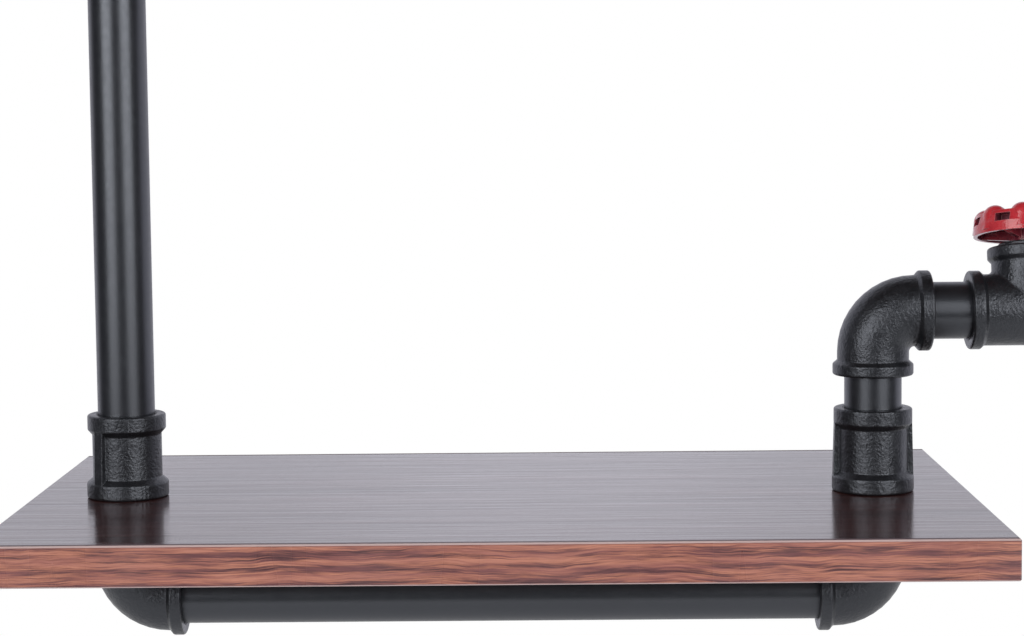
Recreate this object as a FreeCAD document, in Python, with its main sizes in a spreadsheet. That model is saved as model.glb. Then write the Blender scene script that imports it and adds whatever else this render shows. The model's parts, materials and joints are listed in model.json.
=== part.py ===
import FreeCAD, Part
import math
import os
import Sketcher
from FreeCAD import Placement, Rotation, Vector

# Wall-hung pipe shelving unit: three boards carried by two risers of 3/4 inch pipe.
# Millimetres. X runs to the right along the wall, Y runs back into the wall, Z is up.
# The origin is on the wall, at the centre of the lower left wall flange's back face.

DRIVING_SIZES = [
    # pipe
    ("pipe_diameter", 26.7),
    ("pipe_bore", 20.9),
    ("pipe_end_gap", 0.5),
    # screwed fittings
    ("thread_clearance", 0.1),
    ("socket_depth", 13.0),
    ("mouth_chamfer", 1.0),
    ("waterway_diameter", 21.0),
    ("fitting_wall", 3.25),
    ("band_width", 5.1),
    ("band_slope", 1.8),
    ("band_round", 1.1),
    ("root_round", 0.6),
    # elbow
    ("elbow_band_rise", 2.1),
    ("elbow_throat", 2.4),
    ("elbow_upright_straight", 3.8),
    ("elbow_level_straight", 0.3),
    # tee
    ("tee_band_rise", 1.7),
    ("tee_straight", 5.0),
    ("tee_throat_round", 2.6),
    # coupling
    ("coupling_length", 39.2),
    ("coupling_wall", 2.75),
    ("coupling_band_width", 7.0),
    ("coupling_band_slope", 2.4),
    ("coupling_top_rise", 2.1),
    ("coupling_foot_rise", 2.9),
    ("rib_width", 5.0),
    ("rib_drop", 0.3),
    # boards
    ("board_thickness", 18.0),
    ("board_depth", 250.0),
    ("board_arris", 0.6),
    ("board_hole_clearance", 0.65),
    ("hole_to_board_end", 44.25),
    ("board_to_wall", 8.0),
    # layout
    ("lower_riser_spacing", 351.5),
    ("bay_height", 320.0),
    ("riser_nipple_gap", 15.4),
    ("jog_nipple_gap", 18.0),
    # wall flanges
    ("flange_diameter", 76.0),
    ("flange_thickness", 6.0),
    ("flange_height", 16.0),
    ("flange_hub_diameter", 37.6),
    ("flange_root", 2.4),
    ("flange_round", 1.5),
    ("flange_pitch_circle", 57.0),
    ("flange_hole_diameter", 5.5),
    ("flange_holes", 4),
    # valve
    ("valve_lean", 12.5),
    ("valve_branch_extra", 0.5),
    ("plug_rise", 2.1),
    ("plug_round", 0.5),
    ("stem_diameter", 8.0),
    ("stem_clearance", 0.05),
    ("stem_collar_diameter", 13.0),
    ("stem_collar_thickness", 3.0),
    ("stem_end_play", 0.35),
    ("stem_square", 5.6),
    ("square_clearance", 0.1),
    ("stud_diameter", 5.0),
    ("stud_proud", 1.0),
    ("washer_diameter", 11.0),
    ("washer_thickness", 1.0),
    ("nut_across_flats", 8.0),
    ("nut_thickness", 4.0),
    # handwheel
    ("hub_diameter", 14.4),
    ("hub_height", 11.0),
    ("skirt_lift", 3.3),
    ("skirt_diameter", 48.8),
    ("skirt_wall", 1.8),
    ("skirt_height", 4.5),
    ("shoulder_inset", 1.6),
    ("web_top", 9.8),
    ("web_thickness", 1.6),
    ("web_hole_diameter", 26.0),
    ("spoke_count", 4),
    ("spoke_width", 2.0),
    ("spoke_depth", 4.2),
    ("spoke_rise", 0.6),
    ("lobe_count", 8),
    ("lobe_radius", 5.9),
    ("lobe_flare", 0.8),
    ("lobe_proud", 0.45),
    ("lobe_base", 1.5),
    ("wheel_height", 13.2),
    ("window_width", 7.6),
    ("window_depth", 7.5),
]

doc = FreeCAD.newDocument("PipeShelvingUnit")
sheet = doc.addObject("Spreadsheet::Sheet", "Sizes")


class Size:
    """A number with the spreadsheet expression that it comes from."""

    def __init__(self, value, text):
        self.value = value
        self.text = text

    def combine(self, other, sign, result, turned=False):
        if not isinstance(other, Size):
            other = Size(other, repr(other))
        first, last = (other, self) if turned else (self, other)
        return Size(result(first.value, last.value), f"({first.text} {sign} {last.text})")

    def __add__(self, other):
        return self.combine(other, "+", lambda a, b: a + b)

    def __radd__(self, other):
        return self.combine(other, "+", lambda a, b: a + b, turned=True)

    def __sub__(self, other):
        return self.combine(other, "-", lambda a, b: a - b)

    def __rsub__(self, other):
        return self.combine(other, "-", lambda a, b: a - b, turned=True)

    def __mul__(self, other):
        return self.combine(other, "*", lambda a, b: a * b)

    def __rmul__(self, other):
        return self.combine(other, "*", lambda a, b: a * b, turned=True)

    def __truediv__(self, other):
        return self.combine(other, "/", lambda a, b: a / b)

    def __neg__(self):
        return Size(-self.value, f"(-1 * {self.text})")


class Sizes:
    """The driving sizes by name."""


def fill_sheet():
    for row, (name, value) in enumerate(DRIVING_SIZES, start=1):
        sheet.set(f"A{row}", name)
        sheet.set(f"B{row}", str(value))
        sheet.setAlias(f"B{row}", name)
        setattr(Sizes, name, Size(value, f"Sizes.{name}"))
    doc.recompute()


fill_sheet()
S = Sizes
ZERO = S.pipe_diameter * 0

# Radii and reaches that several pieces share
pipe_radius = S.pipe_diameter / 2
socket_radius = pipe_radius + S.thread_clearance
body_radius = socket_radius + S.fitting_wall
leg_end = S.band_slope + S.band_width
bend_radius = body_radius + S.elbow_throat
elbow_band_radius = body_radius + S.elbow_band_rise
elbow_upright_reach = bend_radius + S.elbow_upright_straight + leg_end
elbow_level_reach = bend_radius + S.elbow_level_straight + leg_end
tee_band_radius = body_radius + S.tee_band_rise
tee_reach = body_radius + S.tee_straight + leg_end
pipe_insert = S.socket_depth - S.pipe_end_gap

# Places of the pipe axes and boards
wall_depth = S.board_depth / 2 + S.board_to_wall
riser_y = -wall_depth
jog_length = 2 * (elbow_level_reach + S.jog_nipple_gap + tee_reach)
upper_riser_spacing = S.lower_riser_spacing + jog_length
left_x = ZERO
lower_right_x = S.lower_riser_spacing
upper_right_x = upper_riser_spacing
valve_x = lower_right_x + jog_length / 2
middle_board_z = tee_reach
lower_board_z = middle_board_z - S.bay_height - S.board_thickness
upper_tee_z = middle_board_z + S.board_thickness + S.bay_height - tee_reach
top_board_z = upper_tee_z + tee_reach
bottom_rail_z = lower_board_z - elbow_upright_reach
elbow_above_board = S.board_thickness + S.coupling_length + S.riser_nipple_gap + elbow_upright_reach
jog_z = lower_board_z + elbow_above_board
top_rail_z = top_board_z + elbow_above_board

# Two lengths this close, in millimetres, are the same place
SAME_PLACE = 1e-4

# Ways a piece is turned from the frame it is drawn in
UPRIGHT = Rotation()
ALONG_X = Rotation(Vector(0, 1, 0), 90)
ALONG_Y = Rotation(Vector(1, 0, 0), -90)
OUT_OF_WALL = Rotation(Vector(1, 0, 0), 90)
ELBOW_UP_RIGHT = Rotation()
ELBOW_UP_LEFT = Rotation(Vector(0, 0, 1), 180)
ELBOW_DOWN_RIGHT = Rotation(Vector(1, 0, 0), 180)
ELBOW_DOWN_LEFT = Rotation(Vector(0, 1, 0), 180)
TEE_TO_WALL = Rotation(Vector(1, 1, 1), -120)

# How far round each coupling has been screwed, as the bearing of its ribs in degrees
LEFT_RIBS = 53
RIGHT_RIBS = 0

# The bearing of the handwheel's front lobe, in degrees
WHEEL_LOBE = 254

pieces = []


# ---------------------------------------------------------------- drawing helpers


def new_piece(name, x, y, z, turn):
    body = doc.addObject("PartDesign::Body", name)
    body.Label = name
    body.Placement = Placement(Vector(x.value, y.value, z.value), turn)
    for axis, place in (("x", x), ("y", y), ("z", z)):
        body.setExpression(f".Placement.Base.{axis}", place.text)
    pieces.append(body)
    return body


def origin_feature(body, role):
    return next(f for f in body.Origin.OriginFeatures if f.Role == role)


def new_sketch(body, role, offset=None):
    """A sketch on one of the body's origin planes, moved along the plane's normal by offset."""
    sketch = body.newObject("Sketcher::SketchObject", body.Name + "_sketch")
    sketch.AttachmentSupport = [(origin_feature(body, role), "")]
    sketch.MapMode = "FlatFace"
    if offset is not None:
        sketch.AttachmentOffset = Placement(Vector(0, 0, offset.value), Rotation())
        sketch.setExpression(".AttachmentOffset.Base.z", offset.text)
    return sketch


def constrain(sketch, name, size, *definition):
    index = sketch.addConstraint(Sketcher.Constraint(*definition, size.value))
    sketch.renameConstraint(index, name)
    sketch.setExpression(f"Constraints.{name}", size.text)


def place_point(sketch, name, geometry, point, x, y):
    """Ties one point of a sketch element to its place from the sketch's origin."""
    for axis, line, kind, size in (("x", -2, "DistanceX", x), ("y", -1, "DistanceY", y)):
        if size.value == 0:
            sketch.addConstraint(Sketcher.Constraint("PointOnObject", geometry, point, line))
        else:
            constrain(sketch, f"{name}_{axis}", size, kind, -1, 1, geometry, point)


def draw_outline(sketch, corners):
    """A closed outline of straight lines through the corners."""
    first = sketch.GeometryCount
    count = len(corners)
    points = [Vector(x.value, y.value, 0) for x, y in corners]
    for i in range(count):
        sketch.addGeometry(Part.LineSegment(points[i], points[(i + 1) % count]))
    for i in range(count):
        following = first + (i + 1) % count
        sketch.addConstraint(Sketcher.Constraint("Coincident", first + i, 2, following, 1))
    for i, (x, y) in enumerate(corners):
        place_point(sketch, f"corner{first + i}", first + i, 1, x, y)


def draw_rectangle(sketch, low_x, low_y, high_x, high_y):
    draw_outline(sketch, [(low_x, low_y), (high_x, low_y), (high_x, high_y), (low_x, high_y)])


def draw_circle(sketch, x, y, radius):
    number = sketch.GeometryCount
    centre = Vector(x.value, y.value, 0)
    sketch.addGeometry(Part.Circle(centre, Vector(0, 0, 1), radius.value))
    place_point(sketch, f"centre{number}", number, 3, x, y)
    constrain(sketch, f"radius{number}", radius, "Radius", number)


def revolve(body, kind, sketch, axis, angle=360, reverse=False):
    feature = body.newObject("PartDesign::" + kind, body.Name + "_" + kind)
    feature.Profile = sketch
    feature.ReferenceAxis = (sketch, [axis])
    feature.Angle = angle
    feature.Reversed = reverse
    doc.recompute()
    return feature


def pad(body, sketch, length, both_sides=False):
    feature = body.newObject("PartDesign::Pad", body.Name + "_pad")
    feature.Profile = sketch
    feature.Length = length.value
    feature.setExpression("Length", length.text)
    feature.SideType = "Symmetric" if both_sides else "One side"
    doc.recompute()
    return feature


def pocket(body, sketch, length, reverse=False):
    feature = body.newObject("PartDesign::Pocket", body.Name + "_pocket")
    feature.Profile = sketch
    feature.Length = length.value
    feature.setExpression("Length", length.text)
    feature.Reversed = reverse
    doc.recompute()
    return feature


def pattern_round_z(body, feature, count):
    """Repeats a feature evenly round the body's Z axis."""
    pattern = body.newObject("PartDesign::PolarPattern", body.Name + "_pattern")
    pattern.Originals = [feature]
    pattern.Axis = (origin_feature(body, "Z_Axis"), [""])
    pattern.Angle = 360
    pattern.Occurrences = int(count.value)
    pattern.setExpression("Occurrences", count.text)
    body.Tip = pattern
    doc.recompute()
    return pattern


def edge_names(shape, wanted):
    return [f"Edge{n}" for n, edge in enumerate(shape.Edges, start=1) if wanted(edge)]


def dress(body, kind, base, names, size):
    """A fillet or chamfer on the named edges of the feature before it."""
    feature = body.newObject("PartDesign::" + kind, body.Name + "_" + kind)
    feature.Base = (base, names)
    sized = "Radius" if kind == "Fillet" else "Size"
    setattr(feature, sized, size.value)
    feature.setExpression(sized, size.text)
    body.Tip = feature
    doc.recompute()
    return feature


def is_ring(edge, radius, distances):
    """True for a circular edge of this radius, centred this far from the piece's origin."""
    if not isinstance(edge.Curve, Part.Circle):
        return False
    if abs(edge.Curve.Radius - radius.value) > SAME_PLACE:
        return False
    away = edge.Curve.Center.Length
    return any(abs(away - distance.value) < SAME_PLACE for distance in distances)


def round_rings(body, base, radius, distances, size):
    names = edge_names(base.Shape, lambda edge: is_ring(edge, radius, distances))
    return dress(body, "Fillet", base, names, size)


# ---------------------------------------------------------------- pipes and boards


def make_pipe(name, x, y, z, length, turn=UPRIGHT):
    """A length of pipe from its lower (left, front) end; it goes into a socket at each end."""
    body = new_piece(name, x, y, z, turn)
    sketch = new_sketch(body, "XY_Plane")
    draw_circle(sketch, ZERO, ZERO, pipe_radius)
    draw_circle(sketch, ZERO, ZERO, S.pipe_bore / 2)
    pad(body, sketch, length)


def make_pipe_between(name, x, z_low, z_high):
    """An upright pipe that joins two fittings whose mouths are at these heights."""
    make_pipe(name, x, riser_y, z_low - pipe_insert, z_high - z_low + 2 * pipe_insert)


def make_board(name, z, spacing):
    """A laminated board with a hole for each riser on its middle line."""
    body = new_piece(name, spacing / 2, riser_y, z, UPRIGHT)
    half_length = spacing / 2 + S.hole_to_board_end
    half_depth = S.board_depth / 2
    sketch = new_sketch(body, "XY_Plane")
    draw_rectangle(sketch, -half_length, -half_depth, half_length, half_depth)
    for side in (-1, 1):
        draw_circle(sketch, side * spacing / 2, ZERO, pipe_radius + S.board_hole_clearance)
    slab = pad(body, sketch, S.board_thickness)
    corner_distance = Vector(half_length.value, half_depth.value, 0).Length

    def is_at_corner(vertex):
        return abs(Vector(vertex.X, vertex.Y, 0).Length - corner_distance) < SAME_PLACE

    def outer_edge(edge):
        return edge.Curve.TypeId == "Part::GeomLine" and any(map(is_at_corner, edge.Vertexes))

    dress(body, "Chamfer", slab, edge_names(slab.Shape, outer_edge), S.board_arris)


# ---------------------------------------------------------------- fittings


def leg_outline(start, reach, band_radius):
    """Half of a solid leg with its end band, as (radius, distance along the leg)."""
    return [
        (ZERO, start),
        (body_radius, start),
        (body_radius, reach - leg_end),
        (band_radius, reach - S.band_width),
        (band_radius, reach),
        (ZERO, reach),
    ]


def socket_outline(reach, waterway_start=None):
    """Half of a leg's inside: the pipe socket, the chamfer at its mouth and a straight waterway."""
    shoulder = reach - S.socket_depth
    waterway_radius = S.waterway_diameter / 2
    if waterway_start is None:
        inner = [(ZERO, shoulder)]
    else:
        inner = [
            (ZERO, waterway_start),
            (waterway_radius, waterway_start),
            (waterway_radius, shoulder),
        ]
    return inner + [
        (socket_radius, shoulder),
        (socket_radius, reach - S.mouth_chamfer),
        (socket_radius + S.mouth_chamfer, reach),
        (ZERO, reach),
    ]


def swap(corners):
    return [(y, x) for x, y in corners]


def revolve_upright(body, kind, corners):
    sketch = new_sketch(body, "XZ_Plane")
    draw_outline(sketch, corners)
    return revolve(body, kind, sketch, "V_Axis")


def revolve_along_x(body, kind, corners):
    sketch = new_sketch(body, "XZ_Plane")
    draw_outline(sketch, swap(corners))
    return revolve(body, kind, sketch, "H_Axis")


def round_bands(body, base, reaches, band_radius):
    """Rounds both edges of each end band and the foot of the slope behind it."""
    rims = reaches + [reach - S.band_width for reach in reaches]
    base = round_rings(body, base, band_radius, rims, S.band_round)
    feet = [reach - leg_end for reach in reaches]
    return round_rings(body, base, body_radius, feet, S.root_round)


def revolve_bend(body, kind, radius):
    """A quarter ring from the top of the upright leg's start to the level leg's start."""
    sketch = new_sketch(body, "XY_Plane", bend_radius)
    draw_circle(sketch, ZERO, ZERO, radius)
    centre = Vector(bend_radius.value, 0, 0)
    axis = sketch.addGeometry(Part.LineSegment(centre, centre + Vector(0, 1, 0)), True)
    sketch.addConstraint(Sketcher.Constraint("Vertical", axis))
    constrain(sketch, "axis_x", bend_radius, "DistanceX", -1, 1, axis, 1)
    return revolve(body, kind, sketch, "Axis0", 90, reverse=True)


def make_elbow(name, x, z, turn):
    """A 90 degree elbow with one leg along +Z and one along +X, before it is turned."""
    body = new_piece(name, x, riser_y, z, turn)
    upright = leg_outline(bend_radius, elbow_upright_reach, elbow_band_radius)
    level = leg_outline(bend_radius, elbow_level_reach, elbow_band_radius)
    revolve_bend(body, "Revolution", body_radius)
    revolve_upright(body, "Revolution", upright)
    outside = revolve_along_x(body, "Revolution", level)
    round_bands(body, outside, [elbow_upright_reach, elbow_level_reach], elbow_band_radius)
    revolve_upright(body, "Groove", socket_outline(elbow_upright_reach))
    revolve_bend(body, "Groove", S.waterway_diameter / 2)
    revolve_along_x(body, "Groove", socket_outline(elbow_level_reach))


def make_tee(name, x, z, turn, branch_reach=tee_reach):
    """A tee with its run along X and its branch along +Z, before it is turned."""
    body = new_piece(name, x, riser_y, z, turn)
    leg = leg_outline(ZERO, tee_reach, tee_band_radius)
    socket = socket_outline(tee_reach, ZERO)
    branch = leg_outline(ZERO, branch_reach, tee_band_radius)
    revolve_along_x(body, "Revolution", leg)
    revolve_along_x(body, "Revolution", mirror_run(leg))
    outside = revolve_upright(body, "Revolution", branch)
    rounded = round_bands(body, outside, [tee_reach, branch_reach], tee_band_radius)
    dress(body, "Fillet", rounded, edge_names(rounded.Shape, is_crotch_edge), S.tee_throat_round)
    revolve_upright(body, "Groove", socket_outline(branch_reach, ZERO))
    revolve_along_x(body, "Groove", socket)
    revolve_along_x(body, "Groove", mirror_run(socket))
    return body


def mirror_run(corners):
    return [(radius, -along if along.value else along) for radius, along in corners]


def is_crotch_edge(edge):
    """True for the curved edges where a tee's branch leaves its run."""
    if isinstance(edge.Curve, (Part.Circle, Part.Line)):
        return False
    middle = edge.CenterOfMass
    inside = (body_radius + S.tee_straight).value
    return abs(middle.x) < inside and 0 < middle.z < inside


def make_coupling(name, x, z, rib_angle):
    """A straight coupling, bored through and thicker at its foot, with two cast ribs."""
    body = new_piece(name, x, riser_y, z, Rotation(Vector(0, 0, 1), rib_angle))
    length = S.coupling_length
    width = S.coupling_band_width
    slope_end = width + S.coupling_band_slope
    side_radius = socket_radius + S.coupling_wall
    foot_radius = side_radius + S.coupling_foot_rise
    top_radius = side_radius + S.coupling_top_rise
    outside = revolve_upright(
        body,
        "Revolution",
        [
            (ZERO, ZERO),
            (foot_radius, ZERO),
            (foot_radius, width),
            (side_radius, slope_end),
            (side_radius, length - slope_end),
            (top_radius, length - width),
            (top_radius, length),
            (ZERO, length),
        ],
    )
    outside = round_rings(body, outside, foot_radius, [ZERO, width], S.band_round)
    outside = round_rings(body, outside, top_radius, [length - width, length], S.band_round)
    slopes = [slope_end, length - slope_end]
    round_rings(body, outside, side_radius, slopes, S.root_round)
    ribs = new_sketch(body, "XZ_Plane")
    rib_foot = foot_radius - S.rib_drop
    rib_top = top_radius - S.rib_drop
    low = width / 2
    high = length - width / 2
    draw_outline(ribs, [(-rib_foot, low), (rib_foot, low), (rib_top, high), (-rib_top, high)])
    pad(body, ribs, S.rib_width, both_sides=True)
    revolve_upright(
        body,
        "Groove",
        [
            (ZERO, ZERO),
            (socket_radius + S.mouth_chamfer, ZERO),
            (socket_radius, S.mouth_chamfer),
            (socket_radius, length - S.mouth_chamfer),
            (socket_radius + S.mouth_chamfer, length),
            (ZERO, length),
        ],
    )


def make_wall_flange(name, x, z):
    """A round flange on the wall: its hub takes the wall nipple, four holes take screws."""
    body = new_piece(name, x, ZERO, z, OUT_OF_WALL)
    flange_radius = S.flange_diameter / 2
    hub_radius = S.flange_hub_diameter / 2
    disc = revolve_upright(
        body,
        "Revolution",
        [
            (ZERO, ZERO),
            (flange_radius, ZERO),
            (flange_radius, S.flange_thickness),
            (hub_radius + S.flange_root, S.flange_thickness),
            (hub_radius, S.flange_thickness + S.flange_root),
            (hub_radius, S.flange_height),
            (ZERO, S.flange_height),
        ],
    )
    disc = round_rings(body, disc, flange_radius, [S.flange_thickness], S.flange_round)
    round_rings(body, disc, hub_radius, [S.flange_height], S.band_round)
    revolve_upright(
        body,
        "Groove",
        [
            (ZERO, ZERO),
            (socket_radius, ZERO),
            (socket_radius, S.flange_height - S.mouth_chamfer),
            (socket_radius + S.mouth_chamfer, S.flange_height),
            (ZERO, S.flange_height),
        ],
    )
    hole = new_sketch(body, "XY_Plane")
    diagonal = S.flange_pitch_circle / 2 * math.cos(math.radians(45))
    draw_circle(hole, diagonal, diagonal, S.flange_hole_diameter / 2)
    drilled = pocket(body, hole, S.flange_thickness, reverse=True)
    pattern_round_z(body, drilled, S.flange_holes)


# ---------------------------------------------------------------- valve
# These pieces are drawn from the valve tee's centre, with Z along its branch.

valve_branch_reach = tee_reach + S.valve_branch_extra
plug_top = valve_branch_reach + S.plug_rise
plug_foot = valve_branch_reach - pipe_insert
hub_foot = plug_top + S.stem_end_play
hub_top = hub_foot + S.hub_height
washer_top = hub_top + S.washer_thickness
wheel_foot = hub_foot + S.skirt_lift


def lean(body):
    """Leans a piece back towards the wall with the valve tee's branch."""
    body.Placement = Placement(body.Placement.Base, Rotation(Vector(1, 0, 0), -S.valve_lean.value))
    body.setExpression(".Placement.Rotation.Angle", (-S.valve_lean).text)


def new_valve_piece(name):
    body = new_piece(name, valve_x, riser_y, jog_z, UPRIGHT)
    lean(body)
    return body


def make_valve_plug():
    """Closes the tee's branch and carries the stem in a plain bore."""
    body = new_valve_piece("valve_plug")
    bore = S.stem_diameter / 2 + S.stem_clearance
    revolve_upright(
        body,
        "Revolution",
        [
            (bore, plug_foot),
            (pipe_radius, plug_foot),
            (pipe_radius, plug_top - S.plug_round),
            (pipe_radius - S.plug_round, plug_top),
            (bore, plug_top),
        ],
    )


def make_valve_stem():
    """A round stem with a collar under the plug, a square for the wheel and a stud for the nut."""
    body = new_valve_piece("valve_stem")
    collar_top = plug_foot - S.stem_end_play
    stem_radius = S.stem_diameter / 2
    revolve_upright(
        body,
        "Revolution",
        [
            (ZERO, collar_top - S.stem_collar_thickness),
            (S.stem_collar_diameter / 2, collar_top - S.stem_collar_thickness),
            (S.stem_collar_diameter / 2, collar_top),
            (stem_radius, collar_top),
            (stem_radius, hub_foot),
            (ZERO, hub_foot),
        ],
    )
    half_square = S.stem_square / 2
    square = new_sketch(body, "XY_Plane", hub_foot)
    draw_rectangle(square, -half_square, -half_square, half_square, half_square)
    pad(body, square, S.hub_height)
    stud = new_sketch(body, "XY_Plane", hub_top)
    draw_circle(stud, ZERO, ZERO, S.stud_diameter / 2)
    pad(body, stud, S.washer_thickness + S.nut_thickness + S.stud_proud)


def make_wheel_washer():
    body = new_valve_piece("wheel_washer")
    sketch = new_sketch(body, "XY_Plane", hub_top)
    draw_circle(sketch, ZERO, ZERO, S.washer_diameter / 2)
    draw_circle(sketch, ZERO, ZERO, S.stud_diameter / 2 + S.thread_clearance)
    pad(body, sketch, S.washer_thickness)


def make_wheel_nut():
    """A hexagon nut."""
    body = new_valve_piece("wheel_nut")
    sketch = new_sketch(body, "XY_Plane", washer_top)
    flat = S.nut_across_flats / 2
    corner = S.nut_across_flats / math.sqrt(3)
    half_side = corner / 2
    draw_outline(
        sketch,
        [
            (corner, ZERO),
            (half_side, flat),
            (-half_side, flat),
            (-corner, ZERO),
            (-half_side, -flat),
            (half_side, -flat),
        ],
    )
    draw_circle(sketch, ZERO, ZERO, S.stud_diameter / 2 + S.thread_clearance)
    pad(body, sketch, S.nut_thickness)


def point_out(turn, text):
    """The X and Y of a unit step outwards at an angle past the wheel's front lobe."""
    bearing = math.radians(WHEEL_LOBE + turn)
    expression = f"{WHEEL_LOBE} deg + {text}"
    across = Size(math.cos(bearing), f"cos({expression})")
    along = Size(math.sin(bearing), f"sin({expression})")
    return across, along


def draw_between_lobes(sketch, near, far, width):
    """A slot outline that points outwards midway between two lobes."""
    out_x, out_y = point_out(180 / S.lobe_count.value, f"180 deg / {S.lobe_count.text}")
    corners = []
    for along, side in ((near, -1), (far, -1), (far, 1), (near, 1)):
        x = along * out_x - side * width / 2 * out_y
        y = along * out_y + side * width / 2 * out_x
        corners.append((x, y))
    draw_outline(sketch, corners)


def add_spokes(body, outer):
    """Thin ribs from the hub up to the rim, each midway between two lobes."""
    bearing = WHEEL_LOBE - 180 / S.lobe_count.value
    sketch = new_sketch(body, "XZ_Plane")
    sketch.AttachmentOffset = Placement(Vector(), Rotation(Vector(0, 1, 0), bearing))
    hub_end = hub_foot + S.spoke_rise
    rim_end = wheel_foot + S.spoke_rise
    draw_outline(
        sketch,
        [
            (ZERO, hub_end),
            (outer, rim_end),
            (outer, rim_end + S.spoke_depth),
            (ZERO, hub_end + S.spoke_depth),
        ],
    )
    spoke = pad(body, sketch, S.spoke_width, both_sides=True)
    pattern_round_z(body, spoke, S.spoke_count)


def add_ring_of(body, kind, sizes, x, y, z):
    """A round solid on an upright axis at this place, repeated for each lobe."""
    solid = body.newObject(f"PartDesign::Additive{kind}", f"{body.Name}_{kind.lower()}")
    for name, size in sizes.items():
        setattr(solid, name, size.value)
        solid.setExpression(name, size.text)
    solid.AttachmentSupport = [(origin_feature(body, "XY_Plane"), "")]
    solid.MapMode = "FlatFace"
    solid.AttachmentOffset = Placement(Vector(x.value, y.value, z.value), Rotation())
    for axis, place in (("x", x), ("y", y), ("z", z)):
        solid.setExpression(f".AttachmentOffset.Base.{axis}", place.text)
    doc.recompute()
    pattern_round_z(body, solid, S.lobe_count)


def add_lobes(body, rim_radius, foot, top):
    """Lugs round the rim, each a cone that narrows upwards under a round dome."""
    foot_radius = S.lobe_radius + S.lobe_flare
    out_x, out_y = point_out(0, "0 deg")
    centre = rim_radius - foot_radius
    x = centre * out_x
    y = centre * out_y
    dome_centre = top - S.lobe_radius
    cone = {"Radius1": foot_radius, "Radius2": S.lobe_radius, "Height": dome_centre - foot}
    add_ring_of(body, "Cone", cone, x, y, foot)
    add_ring_of(body, "Sphere", {"Radius": S.lobe_radius}, x, y, dome_centre)


def make_handwheel():
    """A small cast wheel: hub, spokes and a hollow rim with domed lobes and blind windows."""
    body = new_valve_piece("handwheel")
    skirt_radius = S.skirt_diameter / 2
    skirt_inner = skirt_radius - S.skirt_wall
    web_top = wheel_foot + S.web_top
    web_under = web_top - S.web_thickness
    window_back = skirt_radius - S.window_depth
    window_wall_inner = window_back - S.skirt_wall
    window_floor_under = wheel_foot + S.skirt_height - S.skirt_wall
    revolve_upright(
        body,
        "Revolution",
        [
            (S.web_hole_diameter / 2, wheel_foot),
            (skirt_radius, wheel_foot),
            (skirt_radius, wheel_foot + S.skirt_height),
            (skirt_radius - S.shoulder_inset, web_top),
            (S.web_hole_diameter / 2, web_top),
        ],
    )
    lobe_foot = wheel_foot + S.lobe_base
    add_lobes(body, skirt_radius + S.lobe_proud, lobe_foot, wheel_foot + S.wheel_height)
    revolve_upright(
        body,
        "Groove",
        [
            (ZERO, wheel_foot),
            (skirt_inner, wheel_foot),
            (skirt_inner, window_floor_under),
            (window_wall_inner, window_floor_under),
            (window_wall_inner, web_under),
            (ZERO, web_under),
        ],
    )
    add_spokes(body, skirt_inner + S.skirt_wall / 2)
    hub = new_sketch(body, "XY_Plane", hub_foot)
    draw_circle(hub, ZERO, ZERO, S.hub_diameter / 2)
    pad(body, hub, S.hub_height)
    window = new_sketch(body, "XY_Plane", wheel_foot + S.skirt_height)
    beyond_rim = skirt_radius + S.lobe_proud + S.skirt_wall
    draw_between_lobes(window, window_back, beyond_rim, S.window_width)
    window_height = S.web_top - S.web_thickness - S.skirt_height
    cut = pocket(body, window, window_height, reverse=True)
    pattern_round_z(body, cut, S.lobe_count)
    square = new_sketch(body, "XY_Plane", hub_foot)
    half_square = S.stem_square / 2 + S.square_clearance
    draw_rectangle(square, -half_square, -half_square, half_square, half_square)
    pocket(body, square, S.hub_height, reverse=True)


# ---------------------------------------------------------------- the unit


def make_board_joint(level, side, x, board_z, rib_angle):
    """The nipple through a board and the coupling that stands on the board."""
    make_pipe_between(f"{level}_board_nipple_{side}", x, board_z, board_z + S.board_thickness)
    make_coupling(f"{level}_coupling_{side}", x, board_z + S.board_thickness, rib_angle)


def make_wall_bracket(level, side, x, z):
    """A tee under a board with a nipple back to a flange on the wall."""
    make_tee(f"{level}_wall_tee_{side}", x, z, TEE_TO_WALL)
    start = riser_y + tee_reach - pipe_insert
    length = wall_depth - tee_reach - S.flange_height + 2 * pipe_insert
    make_pipe(f"{level}_wall_nipple_{side}", x, start, z, length, ALONG_Y)
    make_wall_flange(f"{level}_wall_flange_{side}", x, z)


def make_rail(name, z, right_x):
    start = left_x + elbow_level_reach - pipe_insert
    length = right_x - left_x - 2 * elbow_level_reach + 2 * pipe_insert
    make_pipe(name, start, riser_y, z, length, ALONG_X)


def make_lower_board():
    make_board("lower_board", lower_board_z, S.lower_riser_spacing)
    make_board_joint("lower", "left", left_x, lower_board_z, LEFT_RIBS)
    make_board_joint("lower", "right", lower_right_x, lower_board_z, RIGHT_RIBS)
    make_elbow("bottom_elbow_left", left_x, bottom_rail_z, ELBOW_UP_RIGHT)
    make_elbow("bottom_elbow_right", lower_right_x, bottom_rail_z, ELBOW_UP_LEFT)
    make_rail("bottom_rail", bottom_rail_z, lower_right_x)


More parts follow.
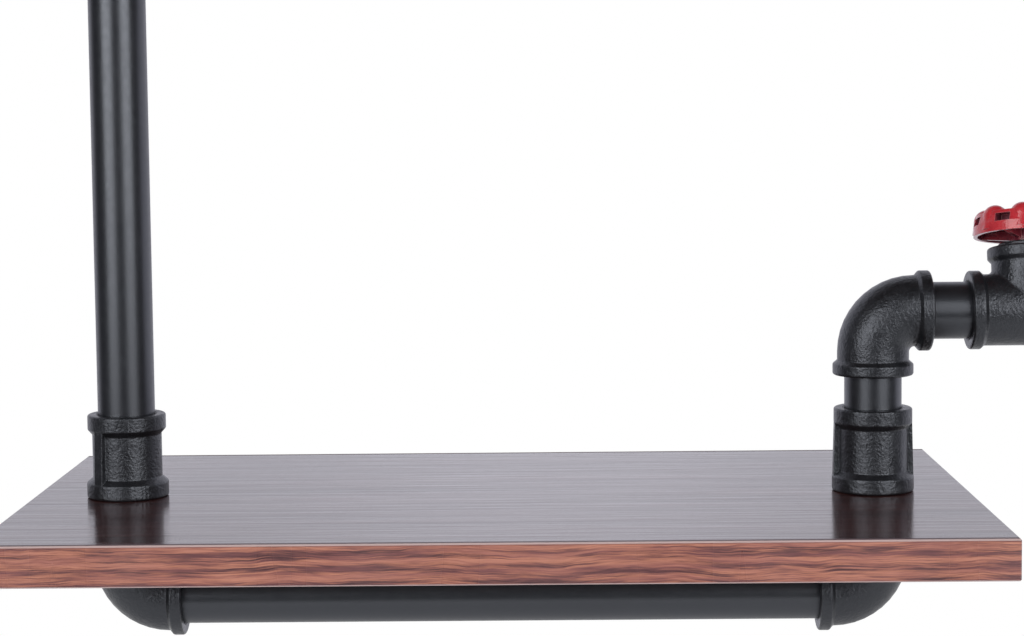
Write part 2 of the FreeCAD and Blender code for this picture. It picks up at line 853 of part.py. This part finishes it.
def make_jog():
    """The stretch that carries the right riser outwards past the valve tee."""
    lower_mouth = lower_board_z + S.board_thickness + S.coupling_length
    make_pipe_between("valve_riser_nipple", lower_right_x, lower_mouth, jog_z - elbow_upright_reach)
    make_elbow("jog_elbow_lower", lower_right_x, jog_z, ELBOW_DOWN_RIGHT)
    nipple_length = S.jog_nipple_gap + 2 * pipe_insert
    left_start = lower_right_x + elbow_level_reach - pipe_insert
    make_pipe("jog_nipple_left", left_start, riser_y, jog_z, nipple_length, ALONG_X)
    lean(make_tee("valve_tee", valve_x, jog_z, UPRIGHT, valve_branch_reach))
    right_start = valve_x + tee_reach - pipe_insert
    make_pipe("jog_nipple_right", right_start, riser_y, jog_z, nipple_length, ALONG_X)
    make_elbow("jog_elbow_upper", upper_right_x, jog_z, ELBOW_UP_LEFT)


def make_valve():
    make_valve_plug()
    make_valve_stem()
    make_handwheel()
    make_wheel_washer()
    make_wheel_nut()


def make_risers():
    lower_mouth = lower_board_z + S.board_thickness + S.coupling_length
    middle_mouth = middle_board_z + S.board_thickness + S.coupling_length
    upper_tee_mouth = upper_tee_z - tee_reach
    jog_mouth = jog_z + elbow_upright_reach
    make_pipe_between("left_riser_lower", left_x, lower_mouth, -tee_reach)
    make_pipe_between("left_riser_upper", left_x, middle_mouth, upper_tee_mouth)
    make_pipe_between("right_riser_lower", upper_right_x, jog_mouth, -tee_reach)
    make_pipe_between("right_riser_upper", upper_right_x, middle_mouth, upper_tee_mouth)


def make_upper_board(level, z, tee_z):
    make_board(f"{level}_board", z, upper_riser_spacing)
    sides = (("left", left_x, LEFT_RIBS), ("right", upper_right_x, RIGHT_RIBS))
    for side, x, rib_angle in sides:
        make_board_joint(level, side, x, z, rib_angle)
        make_wall_bracket(level, side, x, tee_z)


def make_top_rail():
    top_mouth = top_board_z + S.board_thickness + S.coupling_length
    elbow_foot = top_rail_z - elbow_upright_reach
    make_pipe_between("top_nipple_left", left_x, top_mouth, elbow_foot)
    make_pipe_between("top_nipple_right", upper_right_x, top_mouth, elbow_foot)
    make_elbow("top_elbow_left", left_x, top_rail_z, ELBOW_DOWN_RIGHT)
    make_elbow("top_elbow_right", upper_right_x, top_rail_z, ELBOW_DOWN_LEFT)
    make_rail("top_rail", top_rail_z, upper_right_x)


def check_document():
    for thing in doc.Objects:
        if "Invalid" in thing.State or "Error" in thing.State:
            raise RuntimeError(f"{thing.Label} failed: {thing.State}")
    for body in pieces:
        if body.Shape.isNull() or not body.Shape.isValid() or len(body.Shape.Solids) != 1:
            raise RuntimeError(f"{body.Label} is not one valid solid")


def export_pieces():
    os.makedirs("parts", exist_ok=True)
    for body in pieces:
        body.Shape.exportStep(f"parts/{body.Label}.step")


make_lower_board()
make_jog()
make_valve()
make_risers()
make_upper_board("middle", middle_board_z, ZERO)
make_upper_board("top", top_board_z, upper_tee_z)
make_top_rail()
doc.recompute()
check_document()
export_pieces()
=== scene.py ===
import json
import math

import bpy
from mathutils import Matrix, Vector

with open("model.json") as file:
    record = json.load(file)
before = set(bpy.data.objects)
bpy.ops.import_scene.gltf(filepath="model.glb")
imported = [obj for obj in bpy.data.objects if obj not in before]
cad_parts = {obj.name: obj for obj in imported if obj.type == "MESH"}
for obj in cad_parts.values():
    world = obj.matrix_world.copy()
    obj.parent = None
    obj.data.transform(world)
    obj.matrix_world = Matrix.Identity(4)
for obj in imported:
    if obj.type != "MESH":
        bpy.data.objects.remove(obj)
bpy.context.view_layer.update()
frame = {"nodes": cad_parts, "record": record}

# Camera: the picture's width and the focal length, in pixels, and the sensor's width
IMAGE_WIDTH = 1024
FOCAL_PIXELS = 2277.7
SENSOR_MM = 36.0

# Where the camera stands, in metres, and how it is turned, in radians
CAMERA_PLACE = Vector((0.1988, -1.1975, -0.11))
CAMERA_YAW = -0.0152
CAMERA_PITCH = 0.078
CAMERA_ROLL = -0.0107

# The picture is the lower part of a taller one, so its middle lies this far under the axis
SHIFT_PIXELS = 33.0

# Floor, in metres: pale within FLOOR_NEAR of its middle, and white from FLOOR_FAR on
FLOOR_LEVEL = -0.66
FLOOR_RADIUS = 1.0
FLOOR_MIDDLE = (0.25, -0.13, FLOOR_LEVEL)
FLOOR_NEAR = 0.4
FLOOR_FAR = 0.95
FLOOR_COLOUR = (0.9, 0.9, 0.9, 1.0)

# Light: a bright backdrop behind the object, a dim room before it, and two softboxes in front
STUDIO_WHITE = (1.0, 1.0, 1.0, 1.0)
BACKDROP_COLOUR = (0.905, 0.9, 1.0, 1.0)
ROOM_LEVEL = 0.1
SOFTBOX_WIDTH = 2.0
SOFTBOX_HEIGHT = 2.45
SOFTBOX_WATTS = 51.0
SOFTBOX_PLACES = {
    "softbox_left": Vector((-1.66, -2.51, 0.77)),
    "softbox_right": Vector((1.96, -2.53, 0.77)),
}
SOFTBOX_AIM = Vector((0.17, -0.13, 0.77))

# Coats: powder coat and laminate have the same refractive index, and the black one mirrors bluish
COAT_IOR = 1.6
BLACK_COAT_TINT = (0.86, 0.9, 1.0, 1.0)

# Boards, in metres: the painted highlight line along each sharp edge, and the matt strip inside it
# on a face
ARRIS_WIDTH = 0.0007
ARRIS_HIGHLIGHT_COLOUR = (0.66, 0.49, 0.47, 1.0)
ROLLED_WIDTH = 0.0036
ROLLED_COLOUR = (0.13, 0.07, 0.08, 1.0)

# Grain of a board's faces, in cells per metre along X and along Y
FACE_VEINS = (6.0, 130.0)
FACE_FIBRES = (22.0, 1100.0)

# Grain of a board's edge strip, in cells per metre along it and up it
EDGE_BANDS = (9.0, 460.0)
EDGE_STROKES = (55.0, 1700.0)
EDGE_HUES = (25.0, 420.0)

# How far the edge grain sways up and down, in metres, and how often, in cells per metre
SWAY_HEIGHT = 0.0075
SWAY_SCALE = 22.0

# The dark layers across the edge strip: how far apart, as a share of its thickness, the phase
# at its upper edge in radians, how far they sway as a share of it, and how much they darken
LAYER_SPACING = 0.35
LAYER_START = 3.94
LAYER_SWAY = 0.25
LAYER_DEPTH = 0.045


# ---------------------------------------------------------------- node helpers


class Shader:
    """A node tree, with short calls to add and join nodes."""

    def __init__(self, tree):
        self.tree = tree
        self.tree.nodes.clear()

    def add(self, kind, **settings):
        node = self.tree.nodes.new(kind)
        for name, value in settings.items():
            setattr(node, name, value)
        return node

    def feed(self, node, socket, value):
        """Puts a number, a colour or another node's output into a socket."""
        if isinstance(value, bpy.types.NodeSocket):
            self.tree.links.new(value, node.inputs[socket])
        else:
            node.inputs[socket].default_value = value

    def math(self, operation, first, second=0.0, third=0.0):
        node = self.add("ShaderNodeMath", operation=operation)
        self.feed(node, 0, first)
        self.feed(node, 1, second)
        self.feed(node, 2, third)
        return node.outputs["Value"]

    def range(self, value, start, end, low, high, smooth=False):
        """Spreads a value between start and end over low to high, and holds it outside."""
        node = self.add("ShaderNodeMapRange")
        if smooth:
            node.interpolation_type = "SMOOTHSTEP"
        self.feed(node, "Value", value)
        self.feed(node, "From Min", start)
        self.feed(node, "From Max", end)
        self.feed(node, "To Min", low)
        self.feed(node, "To Max", high)
        return node.outputs["Result"]

    def blend(self, share, first, second):
        """The first colour where share is 0 and the second where it is 1."""
        node = self.add("ShaderNodeMix", data_type="RGBA")
        self.feed(node, 0, share)
        self.feed(node, 6, first)
        self.feed(node, 7, second)
        return node.outputs[2]

    def split(self, vector):
        node = self.add("ShaderNodeSeparateXYZ")
        self.feed(node, "Vector", vector)
        return node.outputs["X"], node.outputs["Y"], node.outputs["Z"]

    def point(self, x, y, z):
        node = self.add("ShaderNodeCombineXYZ")
        self.feed(node, "X", x)
        self.feed(node, "Y", y)
        self.feed(node, "Z", z)
        return node.outputs["Vector"]

    def stretched(self, x, y, z, scales):
        """The place (x, y, z) with each coordinate scaled, for a grain that runs along one axis."""
        node = self.add("ShaderNodeVectorMath", operation="MULTIPLY")
        self.feed(node, 0, self.point(x, y, z))
        self.feed(node, 1, scales)
        return node.outputs["Vector"]

    def coordinates(self, kind):
        return self.add("ShaderNodeTexCoord").outputs[kind]

    def noise(self, place, scale, detail=3.0, roughness=0.5):
        node = self.add("ShaderNodeTexNoise")
        self.feed(node, "Vector", place)
        self.feed(node, "Scale", scale)
        self.feed(node, "Detail", detail)
        self.feed(node, "Roughness", roughness)
        return node.outputs["Fac"]

    def ramp(self, value, stops):
        """A colour ramp through (position, colour) stops."""
        node = self.add("ShaderNodeValToRGB")
        elements = node.color_ramp.elements
        while len(elements) < len(stops):
            elements.new(0.5)
        for element, (position, colour) in zip(elements, stops):
            element.position = position
            element.color = (*colour, 1.0)
        self.feed(node, "Fac", value)
        return node.outputs["Color"]


class Finish(Shader):
    """A material with one glossy coat or paint surface."""

    def __init__(self, name):
        self.material = bpy.data.materials.new(name)
        self.material.use_nodes = True
        super().__init__(self.material.node_tree)
        self.surface = self.add("ShaderNodeBsdfPrincipled")
        output = self.add("ShaderNodeOutputMaterial")
        self.feed(output, "Surface", self.surface.outputs["BSDF"])
        self.place = self.coordinates("Object")

    def set(self, socket, value):
        self.feed(self.surface, socket, value)

    def rounded(self, radius):
        """The surface normal, with every sharp edge rounded to this radius in metres."""
        node = self.add("ShaderNodeBevel", samples=6)
        self.feed(node, "Radius", radius)
        return node.outputs["Normal"]

    def bump(self, value, height, normal=None):
        """A relief of this height in metres, on top of an earlier one."""
        node = self.add("ShaderNodeBump")
        self.feed(node, "Distance", height)
        self.feed(node, "Height", value)
        if normal is not None:
            self.feed(node, "Normal", normal)
        return node.outputs["Normal"]

    def wear(self, rounded):
        """1 on sharp edges, where the rounded normal leaves the true one, and 0 on open faces."""
        true = self.add("ShaderNodeNewGeometry").outputs["Normal"]
        node = self.add("ShaderNodeVectorMath", operation="DOT_PRODUCT")
        self.feed(node, 0, rounded)
        self.feed(node, 1, true)
        return self.range(node.outputs["Value"], 0.995, 0.88, 0.0, 1.0)


# ---------------------------------------------------------------- materials


def pipe_finish():
    """Smooth satin black powder coat with a faint orange peel."""
    finish = Finish("pipe_black")
    rounded = finish.rounded(0.0005)
    worn = finish.wear(rounded)
    blotch = finish.noise(finish.place, 45.0)
    shade = finish.ramp(blotch, [(0.3, (0.0074, 0.008, 0.0096)), (0.7, (0.011, 0.0118, 0.0137))])
    finish.set("Base Color", finish.blend(worn, shade, (0.03, 0.031, 0.034, 1.0)))
    finish.set("IOR", COAT_IOR)
    finish.set("Specular IOR Level", 0.9)
    finish.set("Specular Tint", BLACK_COAT_TINT)
    scuff = finish.noise(finish.place, 320.0, detail=4.0, roughness=0.6)
    finish.set("Roughness", finish.range(scuff, 0.3, 0.7, 0.29, 0.37))
    peel = finish.noise(finish.place, 1500.0, detail=2.0)
    finish.set("Normal", finish.bump(peel, 0.000012, rounded))
    return finish.material


def fitting_finish():
    """Rough casting under the same black coat."""
    finish = Finish("fitting_black")
    rounded = finish.rounded(0.0007)
    worn = finish.wear(rounded)
    blotch = finish.noise(finish.place, 160.0, detail=4.0, roughness=0.6)
    shade = finish.ramp(blotch, [(0.3, (0.0066, 0.007, 0.0082)), (0.7, (0.012, 0.0125, 0.0142))])
    finish.set("Base Color", finish.blend(worn, shade, (0.026, 0.027, 0.03, 1.0)))
    finish.set("IOR", COAT_IOR)
    finish.set("Specular IOR Level", 0.7)
    finish.set("Specular Tint", BLACK_COAT_TINT)
    finish.set("Roughness", finish.range(blotch, 0.3, 0.7, 0.28, 0.42))
    lumps = finish.noise(finish.place, 300.0, detail=2.0)
    sand = finish.noise(finish.place, 780.0, detail=3.0, roughness=0.55)
    relief = finish.bump(lumps, 0.00025, rounded)
    finish.set("Normal", finish.bump(sand, 0.0003, relief))
    return finish.material


def wheel_finish():
    """Glossy red enamel on a casting, with painted shade in its hollows."""
    finish = Finish("wheel_red")
    rounded = finish.rounded(0.0005)
    worn = finish.wear(rounded)
    pool = finish.noise(finish.place, 130.0, detail=3.0)
    shade = finish.ramp(pool, [(0.3, (0.57, 0.024, 0.038)), (0.7, (0.73, 0.05, 0.064))])
    # Painted shade: where ambient occlusion finds hollows, windows and the underside, the red is
    # darkened towards dark mauve
    hollow = finish.add("ShaderNodeAmbientOcclusion", samples=8)
    finish.feed(hollow, "Distance", 0.02)
    painted_hollow_shade = finish.range(hollow.outputs["AO"], 0.25, 0.6, 0.85, 0.0)
    shade = finish.blend(painted_hollow_shade, shade, (0.12, 0.032, 0.055, 1.0))
    finish.set("Base Color", finish.blend(worn, shade, (0.72, 0.2, 0.22, 1.0)))
    finish.set("Roughness", finish.range(pool, 0.3, 0.7, 0.2, 0.3))
    finish.set("Coat Weight", 0.5)
    finish.set("Coat Roughness", 0.07)
    lumps = finish.noise(finish.place, 420.0, detail=2.0)
    finish.set("Normal", finish.bump(lumps, 0.00016, rounded))
    return finish.material


def steel_finish():
    """Zinc plate with a fine haze."""
    finish = Finish("plated_steel")
    rounded = finish.rounded(0.0003)
    haze = finish.noise(finish.place, 700.0, detail=4.0)
    shade = finish.ramp(haze, [(0.3, (0.5, 0.5, 0.52)), (0.7, (0.66, 0.66, 0.67))])
    finish.set("Base Color", shade)
    finish.set("Metallic", 1.0)
    finish.set("Roughness", finish.range(haze, 0.3, 0.7, 0.24, 0.42))
    finish.set("Normal", finish.bump(haze, 0.00001, rounded))
    return finish.material


def edge_grain(finish, along, height, thickness):
    """The printed edge strip: dark wavy layers on red-brown, with fine strokes between them."""
    sway = finish.noise(finish.point(along, 0.0, height), SWAY_SCALE, detail=3.0)
    lifted = finish.math("MULTIPLY_ADD", sway, SWAY_HEIGHT, height)

    def grain_place(layer, scales):
        """The strip's own place, scaled; each layer number gives another pattern."""
        return finish.stretched(along, layer, lifted, (scales[0], 1.0, scales[1]))

    bands = finish.noise(grain_place(0.0, EDGE_BANDS), 1.0, detail=2.0)
    strokes = finish.noise(grain_place(5.0, EDGE_STROKES), 1.0, detail=4.0, roughness=0.65)
    below_top = finish.math("SUBTRACT", 1.0, thickness)
    depth = finish.math("MULTIPLY_ADD", sway, LAYER_SWAY, below_top)
    turn = finish.math("MULTIPLY_ADD", depth, 2.0 * math.pi / LAYER_SPACING, LAYER_START)
    layers = finish.math("MULTIPLY", finish.math("SINE", turn), LAYER_DEPTH)
    mixed = finish.math("MULTIPLY_ADD", strokes, 0.58, finish.math("MULTIPLY", bands, 0.42))
    mixed = finish.math("ADD", mixed, layers)
    shade = finish.ramp(
        mixed,
        [
            (0.39, (0.095, 0.043, 0.048)),
            (0.445, (0.19, 0.083, 0.08)),
            (0.49, (0.34, 0.138, 0.104)),
            (0.535, (0.49, 0.2, 0.136)),
            (0.6, (0.62, 0.27, 0.19)),
        ],
    )
    hue_noise = finish.noise(grain_place(9.0, EDGE_HUES), 1.0)
    hue = finish.range(hue_noise, 0.42, 0.62, 0.0, 0.45)
    return finish.blend(hue, shade, (0.33, 0.125, 0.125, 1.0))


def board_span(axis):
    """Where the lower board starts and ends along one of its own axes, in metres."""
    places = [corner[axis] for corner in frame["nodes"]["lower_board"].bound_box]
    return min(places), max(places)


def board_finish():
    """Semi-gloss laminate: dark faces with fine grain along X and redder edge strips."""
    # Every board has the lower board's place along Y and its thickness
    front, back = board_span(1)
    middle_y = (front + back) / 2.0
    half_depth = (back - front) / 2.0
    foot, top = board_span(2)
    finish = Finish("board_laminate")
    x, y, z = finish.split(finish.place)
    facing = finish.split(finish.coordinates("Normal"))[2]
    is_face = finish.math("GREATER_THAN", finish.math("ABSOLUTE", facing), 0.5)

    vein_place = finish.stretched(x, y, z, (*FACE_VEINS, 1.0))
    fibre_place = finish.stretched(x, y, z, (*FACE_FIBRES, 1.0))
    veins = finish.noise(vein_place, 1.0, detail=5.0, roughness=0.6)
    fibres = finish.noise(fibre_place, 1.0, detail=3.0, roughness=0.6)
    mixed = finish.math("MULTIPLY_ADD", fibres, 0.4, finish.math("MULTIPLY", veins, 0.6))
    face = finish.ramp(
        mixed,
        [(0.35, (0.025, 0.009, 0.009)), (0.5, (0.06, 0.02, 0.018)), (0.65, (0.11, 0.036, 0.03))],
    )
    thickness = finish.split(finish.coordinates("Generated"))[2]
    edge = edge_grain(finish, finish.math("ADD", x, y), z, thickness)

    # The edge strip's lines, at shares of its thickness: a painted highlight at the top, dark under
    # it
    rim = 1.0 - ARRIS_WIDTH / (top - foot)
    under_rim = finish.range(thickness, rim - 0.03, rim - 0.01, 0.0, 0.6)
    edge_arris_highlight = finish.range(thickness, rim - 0.006, rim + 0.002, 0.0, 1.0)
    # Painted highlight: a light line along the foot of the strip, where the lower arris catches
    # light from below
    foot_highlight = finish.range(thickness, 0.018, 0.03, 0.6, 0.0)
    edge = finish.blend(under_rim, edge, (0.16, 0.06, 0.06, 1.0))
    edge = finish.blend(foot_highlight, edge, (0.4, 0.33, 0.32, 1.0))
    edge = finish.blend(edge_arris_highlight, edge, ARRIS_HIGHLIGHT_COLOUR)

    # The face's lines along its front and back, at distances in metres from its middle; the one at
    # the arris is a painted highlight
    from_middle = finish.math("ABSOLUTE", finish.math("SUBTRACT", y, middle_y))
    rolled_start = half_depth - ROLLED_WIDTH
    rolled = finish.range(from_middle, rolled_start, rolled_start + 0.0006, 0.0, 1.0)
    face_rim = half_depth - ARRIS_WIDTH
    face_arris_highlight = finish.range(from_middle, face_rim, face_rim + 0.0002, 0.0, 1.0)
    face = finish.blend(rolled, face, ROLLED_COLOUR)
    face = finish.blend(face_arris_highlight, face, ARRIS_HIGHLIGHT_COLOUR)

    finish.set("Base Color", finish.blend(is_face, edge, face))
    face_gloss = finish.range(fibres, 0.3, 0.7, 0.07, 0.24)
    face_gloss = finish.math("MULTIPLY_ADD", rolled, 0.55, face_gloss)
    edge_gloss = finish.range(fibres, 0.3, 0.7, 0.24, 0.34)
    gloss = finish.add("ShaderNodeMix")
    finish.feed(gloss, 0, is_face)
    finish.feed(gloss, 2, edge_gloss)
    finish.feed(gloss, 3, face_gloss)
    finish.set("Roughness", gloss.outputs[0])
    finish.set("IOR", COAT_IOR)
    finish.set("Specular IOR Level", finish.range(mixed, 0.35, 0.65, 0.35, 0.9))
    finish.set("Coat Weight", finish.math("MULTIPLY", is_face, 0.14))
    finish.set("Coat Roughness", 0.1)
    relief = finish.bump(veins, 0.00042)
    finish.set("Normal", finish.bump(fibres, 0.00004, relief))
    return finish.material


def dress_frame():
    """Gives every CAD node the material of its slot in the record."""
    finishes = {
        "pipe_black": pipe_finish(),
        "fitting_black": fitting_finish(),
        "wheel_red": wheel_finish(),
        "plated_steel": steel_finish(),
        "board_laminate": board_finish(),
    }
    for part in frame["record"]["subparts"]:
        node = frame["nodes"][part["node"]]
        node.data.materials.clear()
        node.data.materials.append(finishes[part["material_slot"]])


# ---------------------------------------------------------------- stage, light and camera


def seen_share(shader):
    """1 for camera, glossy and transmission rays, and 0 for the rest."""
    rays = shader.add("ShaderNodeLightPath").outputs
    mirrored = shader.math("MAXIMUM", rays["Is Glossy Ray"], rays["Is Transmission Ray"])
    return shader.math("MAXIMUM", rays["Is Camera Ray"], mirrored)


def make_world():
    """A white backdrop behind the object and a dim room before it; the camera sees white."""
    world = bpy.data.worlds.new("studio")
    bpy.context.scene.world = world
    world.use_nodes = True
    shader = Shader(world.node_tree)
    x, y, z = shader.split(shader.coordinates("Generated"))
    turned = shader.math("MULTIPLY_ADD", x, 0.16, y)
    behind = shader.range(turned, 0.05, 0.45, 0.0, 1.0, smooth=True)
    below_ceiling = shader.range(z, 0.5, 0.9, 1.0, 0.0, smooth=True)
    backdrop = shader.math("MULTIPLY", behind, below_ceiling)
    off_middle = shader.range(shader.math("ABSOLUTE", x), 0.02, 0.14, 1.0, 0.88, smooth=True)
    room = shader.math("MULTIPLY", shader.range(backdrop, 0.0, 1.0, ROOM_LEVEL, 1.0), off_middle)
    camera_ray = shader.add("ShaderNodeLightPath").outputs["Is Camera Ray"]
    background = shader.add("ShaderNodeBackground")
    shader.feed(background, "Color", shader.blend(camera_ray, BACKDROP_COLOUR, STUDIO_WHITE))
    shader.feed(background, "Strength", shader.math("MAXIMUM", camera_ray, room))
    output = shader.add("ShaderNodeOutputWorld")
    shader.feed(output, "Surface", background.outputs["Background"])


def floor_finish():
    """Pale and matt under the object, where it holds the shadow, and white farther out."""
    material = bpy.data.materials.new("studio_floor")
    material.use_nodes = True
    shader = Shader(material.node_tree)
    matt = shader.add("ShaderNodeBsdfDiffuse")
    shader.feed(matt, "Color", FLOOR_COLOUR)
    glow = shader.add("ShaderNodeEmission")
    shader.feed(glow, "Color", STUDIO_WHITE)
    shader.feed(glow, "Strength", 1.0)
    reach = shader.add("ShaderNodeVectorMath", operation="LENGTH")
    shader.feed(reach, 0, shader.coordinates("Object"))
    far = shader.range(reach.outputs["Value"], FLOOR_NEAR, FLOOR_FAR, 0.35, 1.0, smooth=True)
    mix = shader.add("ShaderNodeMixShader")
    shader.feed(mix, 0, shader.math("MULTIPLY", far, seen_share(shader)))
    shader.feed(mix, 1, matt.outputs["BSDF"])
    shader.feed(mix, 2, glow.outputs["Emission"])
    output = shader.add("ShaderNodeOutputMaterial")
    shader.feed(output, "Surface", mix.outputs["Shader"])
    return material


def make_floor():
    """A round floor under the object."""
    corners = 96
    turns = [2.0 * math.pi * i / corners for i in range(corners)]
    points = [(FLOOR_RADIUS * math.cos(t), FLOOR_RADIUS * math.sin(t), 0.0) for t in turns]
    mesh = bpy.data.meshes.new("floor")
    mesh.from_pydata(points, [], [list(range(corners))])
    mesh.materials.append(floor_finish())
    floor = bpy.data.objects.new("floor", mesh)
    floor.location = FLOOR_MIDDLE
    bpy.context.scene.collection.objects.link(floor)


def make_softboxes():
    for name, place in SOFTBOX_PLACES.items():
        data = bpy.data.lights.new(name, "AREA")
        data.shape = "RECTANGLE"
        data.size = SOFTBOX_WIDTH
        data.size_y = SOFTBOX_HEIGHT
        data.energy = SOFTBOX_WATTS
        lamp = bpy.data.objects.new(name, data)
        bpy.context.scene.collection.objects.link(lamp)
        lamp.location = place
        lamp.rotation_euler = (SOFTBOX_AIM - place).to_track_quat("-Z", "Y").to_euler()


def make_camera():
    """The camera at its place, turned by yaw, pitch and roll from a level view along +Y."""
    data = bpy.data.cameras.new("camera")
    data.sensor_width = SENSOR_MM
    data.lens = FOCAL_PIXELS / IMAGE_WIDTH * SENSOR_MM
    data.shift_y = -SHIFT_PIXELS / IMAGE_WIDTH
    data.clip_start = 0.01
    data.clip_end = 50.0
    camera = bpy.data.objects.new("camera", data)
    bpy.context.scene.collection.objects.link(camera)
    sin_yaw, cos_yaw = math.sin(CAMERA_YAW), math.cos(CAMERA_YAW)
    sin_pitch, cos_pitch = math.sin(CAMERA_PITCH), math.cos(CAMERA_PITCH)
    forward = Vector((sin_yaw * cos_pitch, cos_yaw * cos_pitch, -sin_pitch))
    level = Vector((cos_yaw, -sin_yaw, 0.0))
    upright = level.cross(forward)
    right = level * math.cos(CAMERA_ROLL) + upright * math.sin(CAMERA_ROLL)
    up = upright * math.cos(CAMERA_ROLL) - level * math.sin(CAMERA_ROLL)
    turn = Matrix((right, up, -forward)).transposed().to_4x4()
    camera.matrix_world = Matrix.Translation(CAMERA_PLACE) @ turn
    bpy.context.scene.camera = camera


dress_frame()
make_world()
make_floor()
make_softboxes()
make_camera()
bpy.context.scene.view_settings.view_transform = "Standard"
